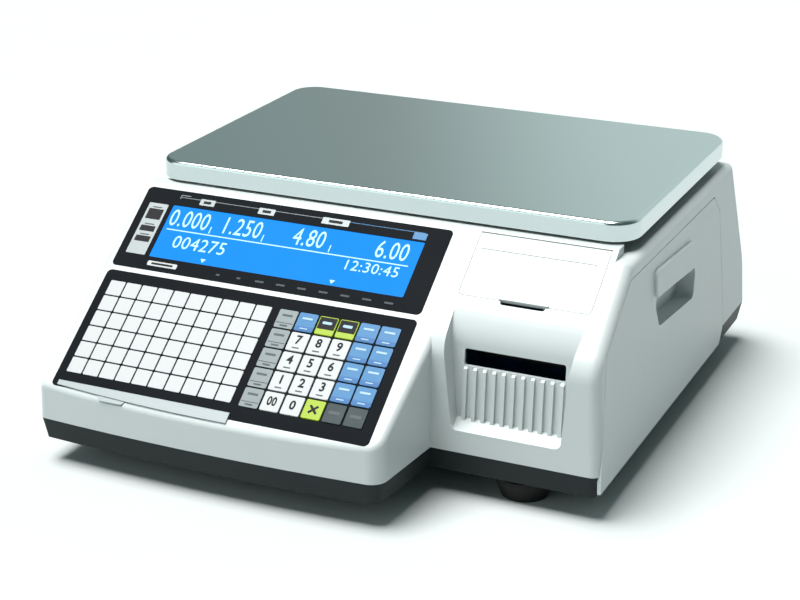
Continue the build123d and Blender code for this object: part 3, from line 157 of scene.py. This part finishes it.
paper = material("label_paper", (0.66, 0.66, 0.62), 0.85, vary=0.06, patch=40, stretch=(60, 1, 1),
                 grain=(300, 0.2))
board = material("circuit_board", (0.02, 0.13, 0.06), 0.35, coat=0.3, vary=0.25, patch=260,
                 grain=(500, 0.12))
motor = material("motor_lacquer", (0.02, 0.02, 0.022), 0.35, grain=(800, 0.06), edge_highlight=0.5, edge_highlight_tint=4)
green = material("lever_green", (0.02, 0.20, 0.13), 0.4, grain=(900, 0.04))
connector = material("connector_plastic", (0.014, 0.014, 0.015), 0.5, grain=(1000, 0.1), edge_highlight_tint=2.5)
tile = material("white_key_film", (0.438, 0.447, 0.450), 0.42, vary=0.02, edge_highlight=0.1, **FILM)
grey_key = material("grey_key_film", (0.182, 0.212, 0.217), 0.42, vary=0.03, **FILM)
blue_key = material("blue_key_film", (0.020, 0.143, 0.315), 0.40, vary=0.05, **FILM)
lime = material("lime_key_film", (0.265, 0.372, 0.004), 0.40, vary=0.04, **FILM)
dark_key = material("dark_key_film", (0.020, 0.034, 0.037), 0.5, vary=0.05, **FILM)
ink = material("black_ink", (0.008, 0.008, 0.010), 0.5, level=0.1, **INK)
pale_ink = material("pale_ink", (0.30, 0.44, 0.56), 0.5, level=0.2, **INK)
grey_ink = material("grey_ink", (0.06, 0.075, 0.076), 0.5, level=0.2, **INK)
dim_ink = material("dim_ink", (0.055, 0.07, 0.075), 0.5, level=0.1, **INK)
deep_blue = material("deep_blue_ink", (0.02, 0.11, 0.29), 0.45, level=0.2, **INK)
strip = material("strip_plastic", (0.30, 0.335, 0.34), 0.38, vary=0.02, grain=(1300, 0.04), level=0.3)
silver = material("silver_sticker", (0.215, 0.24, 0.24), 0.40, metal=0.2, vary=0.08, patch=50,
                  grain=(1200, 0.05), level=0.3)
lcd = material("lcd_backlight", (0.002, 0.035, 0.12), 0.55, vary=0.02, grain=(2500, 0.01), edge_highlight=0,
               glow=((0.004, 0.26, 0.85), 1.0), level=0.04)
lcd_mark = material("lcd_pixels", (0.2, 0.3, 0.32), 0.3, grain=(2500, 0.01), edge_highlight=0,
                    glow=((0.50, 0.90, 1.0), 0.66), level=0.06)
vial = material("level_vial", (0.35, 0.48, 0.04), 0.12, coat=0.6, grain=(300, 0.01))
tint = material("window_tint", (0.02, 0.025, 0.03), 0.1, coat=0.4, grain=(300, 0.004),
                edge_highlight=0.1, edge_highlight_tint=3)

FEET = ("foot_front_left", "foot_front_right", "foot_rear_left", "foot_rear_right")
DIGITS = [str(number) for number in range(10)] + ["00"]
NODE_MATERIALS = {
    white: ("upper_housing", "printer_flap", "cartridge_front"),
    black: ("base_pan",),
    bezel: ("display_bezel", "keypad_frame"),
    lcd: ("lcd_module", "rear_lcd"),
    steel: ("platter",),
    zinc: (
        "power_supply",
        "overload_stops",
        "cartridge_chassis",
        "cartridge_rails",
        "flap_pins",
        "housing_screws",
    ),
    cast: ("load_cell", "spider", "cell_mount", "print_head"),
    rubber: ("platter_pads", "platen_roller") + FEET,
    nylon: ("platen_gear", "motor_pinion", "supply_spindle", "takeup_spool"),
    paper: ("label_roll",),
    board: ("display_board", "keypad_board", "main_board"),
    motor: ("stepper_motor",),
    green: ("head_lever",),
    connector: ("power_inlet", "io_connectors", "power_switch"),
    tile: ("speed_keys",) + tuple(f"key_{digit}" for digit in DIGITS),
    grey_key: ("menu_keys",),
    blue_key: ("function_keys",),
    lime: ("key_c", "key_zero", "key_tare"),
    dark_key: ("key_print_a", "key_print_b"),
    strip: ("key_sheet_strip",),
    vial: ("bubble_level",),
    tint: ("rear_window",),
}
for surface_material, names in NODE_MATERIALS.items():
    for name in names:
        for slot in nodes[name].material_slots:
            slot.material = surface_material


# ---- printed and raised pieces -------------------------------------------------------------------
INK_LIFT = 0.00006
INK_SHEET = 0.00012


def finish_piece(obj, surface_material, body):
    """Gives a new piece its material and body."""
    obj.data.materials.clear()
    obj.data.materials.append(surface_material)
    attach(obj, body)
    return obj


def prism(name, outline, thick, matrix, surface_material, body, round_edge=0.0):
    """A thin plate with any outline, raised by thick from the given frame."""
    count = len(outline)
    verts = [(x, y, 0) for x, y in outline] + [(x, y, thick) for x, y in outline]
    faces = [tuple(reversed(range(count))), tuple(range(count, 2 * count))]
    faces += [(i, (i + 1) % count, (i + 1) % count + count, i + count) for i in range(count)]
    mesh = bpy.data.meshes.new(name)
    mesh.from_pydata(verts, [], faces)
    mesh.transform(matrix)
    obj = bpy.data.objects.new(name, mesh)
    bpy.context.scene.collection.objects.link(obj)
    if round_edge:
        bevel = obj.modifiers.new("edge", "BEVEL")
        bevel.width = round_edge
        bevel.segments = 2
    return finish_piece(obj, surface_material, body)


def rounded(width, height, radius, steps=4):
    """Outline of a rectangle with round corners, about its middle."""
    points = []
    for quadrant, (sx, sy) in enumerate(((1, 1), (-1, 1), (-1, -1), (1, -1))):
        for step in range(steps + 1):
            angle = math.radians(90 * (quadrant + step / steps))
            x = sx * (width / 2 - radius) + radius * math.cos(angle)
            y = sy * (height / 2 - radius) + radius * math.sin(angle)
            points.append((x, y))
    return points


def plate(name, x, t, width, height, surface_material, body="root", lift=INK_LIFT, thick=INK_SHEET,
          radius=0.0003):
    """A rounded plate on the slope with its middle at x and t."""
    outline = rounded(width, height, radius)
    return prism(name, outline, thick, slope_matrix(x, t, lift), surface_material, body)


def text(name, words, x, t, size, surface_material, body="root", lift=INK_LIFT, squeeze=1.0,
         bold=0.0):
    """Flat figures on the slope, as a mesh."""
    curve = bpy.data.curves.new(name, "FONT")
    curve.body = words
    curve.size = size
    curve.align_x = "CENTER"
    curve.offset = bold
    curve.align_y = "CENTER"
    curve.extrude = INK_SHEET / 2
    curve.resolution_u = 3
    curve.space_character = 1.05
    holder = bpy.data.objects.new(name + "_curve", curve)
    mesh = bpy.data.meshes.new_from_object(holder)
    bpy.data.objects.remove(holder)
    mesh.transform(Matrix.Diagonal((squeeze, 1, 1, 1)))
    mesh.transform(slope_matrix(x, t, lift + INK_SHEET / 2))
    obj = bpy.data.objects.new(name, mesh)
    bpy.context.scene.collection.objects.link(obj)
    return finish_piece(obj, surface_material, body)


KEY_TOP = 0.0008
KEY_W, KEY_T = 0.0146, 0.0152
BAND = 0.0042  # lower label band of a key


def key_marks(prefix, x, t, ink_material, body="root", bars=(0.55, 0.4)):
    """Two short bars in place of a key's printed words."""
    plate(f"{prefix}_bar_a", x, t - 0.0030, KEY_W * bars[0], 0.0016, ink_material, body, KEY_TOP + INK_LIFT)
    plate(f"{prefix}_bar_b", x, t + KEY_T / 2 - BAND / 2, KEY_W * bars[1], 0.0009, ink_material, body,
          KEY_TOP + 2 * INK_LIFT + INK_SHEET)


DIGIT_SIZE, DIGIT_BOLD = 0.0098, 0.00028
DIGIT_RISE = 0.0014  # figures with a mark below them sit higher
DIGIT_SQUEEZE, PAIR_SQUEEZE = 0.92, 0.72
for digit in DIGITS:
    key = f"key_{digit}"
    key_x, key_t = slope_place(key)
    underscored = digit not in ("0", "00")
    down = -DIGIT_RISE if underscored else 0.0
    squeeze = PAIR_SQUEEZE if digit == "00" else DIGIT_SQUEEZE
    text(f"legend_{digit}", digit, key_x, key_t + down, DIGIT_SIZE, ink, key, KEY_TOP, squeeze,
         bold=DIGIT_BOLD)
    if underscored:
        plate(f"underscore_{digit}", key_x, key_t + 0.0050, 0.0054, 0.0010, grey_ink, key, KEY_TOP)

FIELD_MARGIN_X, FIELD_MARGIN_T = 0.0014, 0.0012
for key in ("key_zero", "key_tare"):
    key_x, key_t = slope_place(key)
    field_w, field_t = KEY_W - FIELD_MARGIN_X, KEY_T - BAND - FIELD_MARGIN_T
    plate(f"{key}_field", key_x, key_t - BAND / 2 + 0.0002, field_w, field_t, ink, key, KEY_TOP)
    plate(f"{key}_mark", key_x, key_t - BAND / 2, 0.0072, 0.0022, pale_ink, key,
          KEY_TOP + 2 * INK_SHEET, radius=0.0006)

STROKE = rounded(0.0084, 0.0018, 0.0003)
clear_x, clear_t = slope_place("key_c")
for index, turn in enumerate((45, -45)):
    frame_on_key = slope_matrix(clear_x, clear_t, KEY_TOP + index * INK_LIFT)
    arm = frame_on_key @ Matrix.Rotation(math.radians(turn), 4, "Z")
    prism(f"clear_stroke_{index}", STROKE, INK_SHEET, arm, ink, "key_c")

for key in ("key_print_a", "key_print_b"):
    key_x, key_t = slope_place(key)
    plate(f"{key}_mark", key_x, key_t - 0.0004, 0.0086, 0.0026, grey_ink, key, KEY_TOP, radius=0.0005)

first_x, first_t = slope_place("key_7")
PITCH_X = slope_place("key_8")[0] - first_x
PITCH_T = slope_place("key_4")[1] - first_t
MENU_ROWS = 5
for row in range(MENU_ROWS):
    key_x, key_t = first_x - PITCH_X, first_t + PITCH_T * (row - 1)
    key_marks(f"menu_{row}", key_x, key_t, grey_ink)
    plate(f"menu_{row}_band", key_x, key_t + KEY_T / 2 - BAND, KEY_W - 0.001, 0.0005, grey_ink,
          lift=KEY_TOP)
BAND_MARGIN = 0.0006
function_places = [(0, 0)] + [(column, row) for column in (3, 4) for row in range(4)]
for column, row in function_places:
    key_x, key_t = first_x + PITCH_X * column, first_t + PITCH_T * (row - 1)
    key_marks(f"function_{column}_{row}", key_x, key_t, pale_ink)
    plate(f"function_{column}_{row}_band", key_x, key_t + KEY_T / 2 - BAND / 2, KEY_W - BAND_MARGIN,
          BAND - BAND_MARGIN, deep_blue, lift=KEY_TOP)

# ---- display content -----------------------------------------------------------------------------
LCD_X = (-0.164, 0.044)
LCD_T = (0.0135, 0.0617)
LCD_TOP = -0.0005
LCD_W, LCD_H = LCD_X[1] - LCD_X[0], LCD_T[1] - LCD_T[0]


def lcd_place(across, down):
    """A place on the display as shares of its width and height."""
    return LCD_X[0] + LCD_W * across, LCD_T[0] + LCD_H * down


LCD_LIFT = LCD_TOP + INK_LIFT
FIGURES = (  # name, words and place across
    ("gross", "0.000", 0.092),
    ("net", "1.250", 0.305),
    ("price", "4.80", 0.575),
    ("sum", "6.00", 0.895),
)
FIGURE_DOWN, FIGURE_SIZE, FIGURE_SQUEEZE = 0.245, 0.0215, 0.68
for label, words, across in FIGURES:
    x, t = lcd_place(across, FIGURE_DOWN)
    text(f"display_{label}", words, x, t, FIGURE_SIZE, lcd_mark, lift=LCD_LIFT, squeeze=FIGURE_SQUEEZE)
TICKS_ACROSS, TICK_DOWN = (0.188, 0.40, 0.665), 0.36
for index, across in enumerate(TICKS_ACROSS):
    x, t = lcd_place(across, TICK_DOWN)
    plate(f"display_tick_{index}", x, t, 0.0008, 0.0062, lcd_mark, lift=LCD_LIFT)
x, t = lcd_place(0.495, 0.455)
plate("display_rule", x, t, LCD_W * 0.955, 0.0009, lcd_mark, lift=LCD_LIFT)
x, t = lcd_place(0.175, 0.675)
text("display_code", "004275", x, t, 0.0158, lcd_mark, lift=LCD_LIFT, squeeze=0.92)
x, t = lcd_place(0.845, 0.60)
text("display_time", "12:30:45", x, t, 0.0124, lcd_mark, lift=LCD_LIFT, squeeze=1.0)
ARROW = ((0, -0.0016), (0.0022, 0.0016), (-0.0022, 0.0016))
ARROWS_ACROSS, ARROW_DOWN = (0.215, 0.725), 0.93
for index, across in enumerate(ARROWS_ACROSS):
    x, t = lcd_place(across, ARROW_DOWN)
    prism(f"display_arrow_{index}", ARROW, INK_SHEET, slope_matrix(x, t, LCD_LIFT), lcd_mark, "root")

# ---- printed trim on the display panel -----------------------------------------------------------
SECOND_LAYER = 0.0003  # lift of a print that lies on another
FAINT_LIFT, FAINT_SHEET = 0.00003, 0.00008
STICKER_X = -0.1757
plate("side_sticker", STICKER_X, 0.038, 0.0165, 0.0468, silver, radius=0.0008, thick=0.0002)
STICKER_FIELDS = ((0.0245, 0.0095), (0.038, 0.0050), (0.0475, 0.0050))  # t and height
for index, (t, height) in enumerate(STICKER_FIELDS):
    plate(f"sticker_field_{index}", STICKER_X, t, 0.0125, height, ink, lift=SECOND_LAYER)
    plate(f"sticker_bar_{index}", STICKER_X, t - height / 2 - 0.0016, 0.0080, 0.0009, grey_ink,
          lift=SECOND_LAYER)
UNIT_T = 0.0077
UNIT_PLATES = ((-0.137, 0.0125), (-0.0866, 0.0135), (-0.0295, 0.022))  # x and width
for index, (x, width) in enumerate(UNIT_PLATES):
    plate(f"unit_plate_{index}", x, UNIT_T, width, 0.0056, silver)
    plate(f"unit_bar_{index}", x, UNIT_T, width * 0.5, 0.0022, ink, lift=SECOND_LAYER)
RULE_STOPS = (-0.1605, -0.137, -0.0866, -0.0295, 0.042)
for index, (start, stop) in enumerate(zip(RULE_STOPS, RULE_STOPS[1:])):
    rule_material = grey_key if index < len(UNIT_PLATES) else blue_key
    plate(f"unit_rule_{index}", (start + stop) / 2, 0.0060, stop - start, 0.0005, rule_material,
          lift=FAINT_LIFT, thick=FAINT_SHEET)
plate("unit_end", 0.0385, 0.0092, 0.0105, 0.0058, blue_key)
plate("blank_badge", -0.1495, 0.0675, 0.0250, 0.0042, tile, radius=0.0009)
plate("badge_bar", -0.1495, 0.0675, 0.0180, 0.0015, ink, lift=SECOND_LAYER)
plate("panel_bracket_rule", -0.1568, 0.0042, 0.0080, 0.0006, grey_key, lift=FAINT_LIFT)
plate("panel_bracket_end", -0.1605, 0.0058, 0.0006, 0.0038, grey_key, lift=SECOND_LAYER)
STATUS_MARKS, STATUS_START, STATUS_PITCH, STATUS_T = 9, -0.102, 0.0172, 0.0682
for index in range(STATUS_MARKS):
    mark_w = 0.0070 if index > 1 else 0.0030
    plate(f"status_mark_{index}", STATUS_START + STATUS_PITCH * index, STATUS_T, mark_w, 0.0015, dim_ink,
          lift=FAINT_LIFT)

# ---- studio --------------------------------------------------------------------------------------
FLOOR = 14.0
FLOOR_CORNERS = [(-FLOOR, -FLOOR, 0), (FLOOR, -FLOOR, 0), (FLOOR, FLOOR, 0), (-FLOOR, FLOOR, 0)]
floor_mesh = bpy.data.meshes.new("floor")
floor_mesh.from_pydata(FLOOR_CORNERS, [], [(0, 1, 2, 3)])
floor = bpy.data.objects.new("floor", floor_mesh)
bpy.context.scene.collection.objects.link(floor)
floor_white = material("floor_white", (0.51, 0.535, 0.533), 0.8, vary=0.004, grain=(200, 0.0), edge_highlight=0,
                       level=0.1)
floor_mesh.materials.append(floor_white)

world = bpy.data.worlds.new("studio")
bpy.context.scene.world = world
world.use_nodes = True
sky = world.node_tree
background = sky.nodes["Background"]
direction = sky.nodes.new("ShaderNodeTexCoord")
facing_axis = sky.nodes.new("ShaderNodeVectorMath")
facing_axis.operation = "DOT_PRODUCT"
BRIGHT_SIDE = Vector((0.25, 0.95, 0.15)).normalized()
facing_axis.inputs[1].default_value = BRIGHT_SIDE
sky.links.new(direction.outputs["Generated"], facing_axis.inputs[0])
ramp = sky.nodes.new("ShaderNodeValToRGB")
SKY_BANDS = (  # nearness to the bright side, brightness, share of red
    (0.50, 0.13, 0.60),
    (0.67, 0.33, 0.74),
    (0.775, 0.38, 0.84),
    (0.84, 0.78, 0.84),
    (0.93, 0.82, 0.84),
)
for index, (place, shine, red) in enumerate(SKY_BANDS):
    if index < 2:
        element = ramp.color_ramp.elements[index]
        element.position = place
    else:
        element = ramp.color_ramp.elements.new(place)
    element.color = (red * shine, shine, 0.985 * shine, 1)
sky.links.new(facing_axis.outputs["Value"], ramp.inputs["Fac"])
sky.links.new(ramp.outputs["Color"], background.inputs["Color"])
background.inputs["Strength"].default_value = 1.0


def sun(name, toward, strength, softness, tint=(1, 1, 1)):
    """A broad, even studio light that comes from the given direction."""
    data = bpy.data.lights.new(name, "SUN")
    data.energy = strength
    data.angle = math.radians(softness)
    data.color = tint
    obj = bpy.data.objects.new(name, data)
    obj.rotation_euler = Vector(toward).to_track_quat("Z", "Y").to_euler()
    bpy.context.scene.collection.objects.link(obj)


sun("top_light", (-0.22, -0.12, 1.0), 5.7, 34)
sun("front_fill", (-0.75, -1.0, 0.25), 1.05, 60, (0.88, 1.0, 0.99))

# ---- camera --------------------------------------------------------------------------------------
CAMERA_AT = Vector((0.5567, -1.2539, 0.6101))
AZIMUTH, ELEVATION = math.radians(24.5), math.radians(21.1)
LENS_MM, SENSOR_MM = 85.21, 36
back = Vector(
    (
        math.sin(AZIMUTH) * math.cos(ELEVATION),
        -math.cos(AZIMUTH) * math.cos(ELEVATION),
        math.sin(ELEVATION),
    )
)
camera_data = bpy.data.cameras.new("camera")
camera_data.lens = LENS_MM
camera_data.sensor_width = SENSOR_MM
camera = bpy.data.objects.new("camera", camera_data)
camera.location = CAMERA_AT
camera.rotation_mode = "QUATERNION"
camera.rotation_quaternion = back.to_track_quat("Z", "Y")
bpy.context.scene.collection.objects.link(camera)
bpy.context.scene.camera = camera
bpy.context.scene.view_settings.view_transform = "Standard"
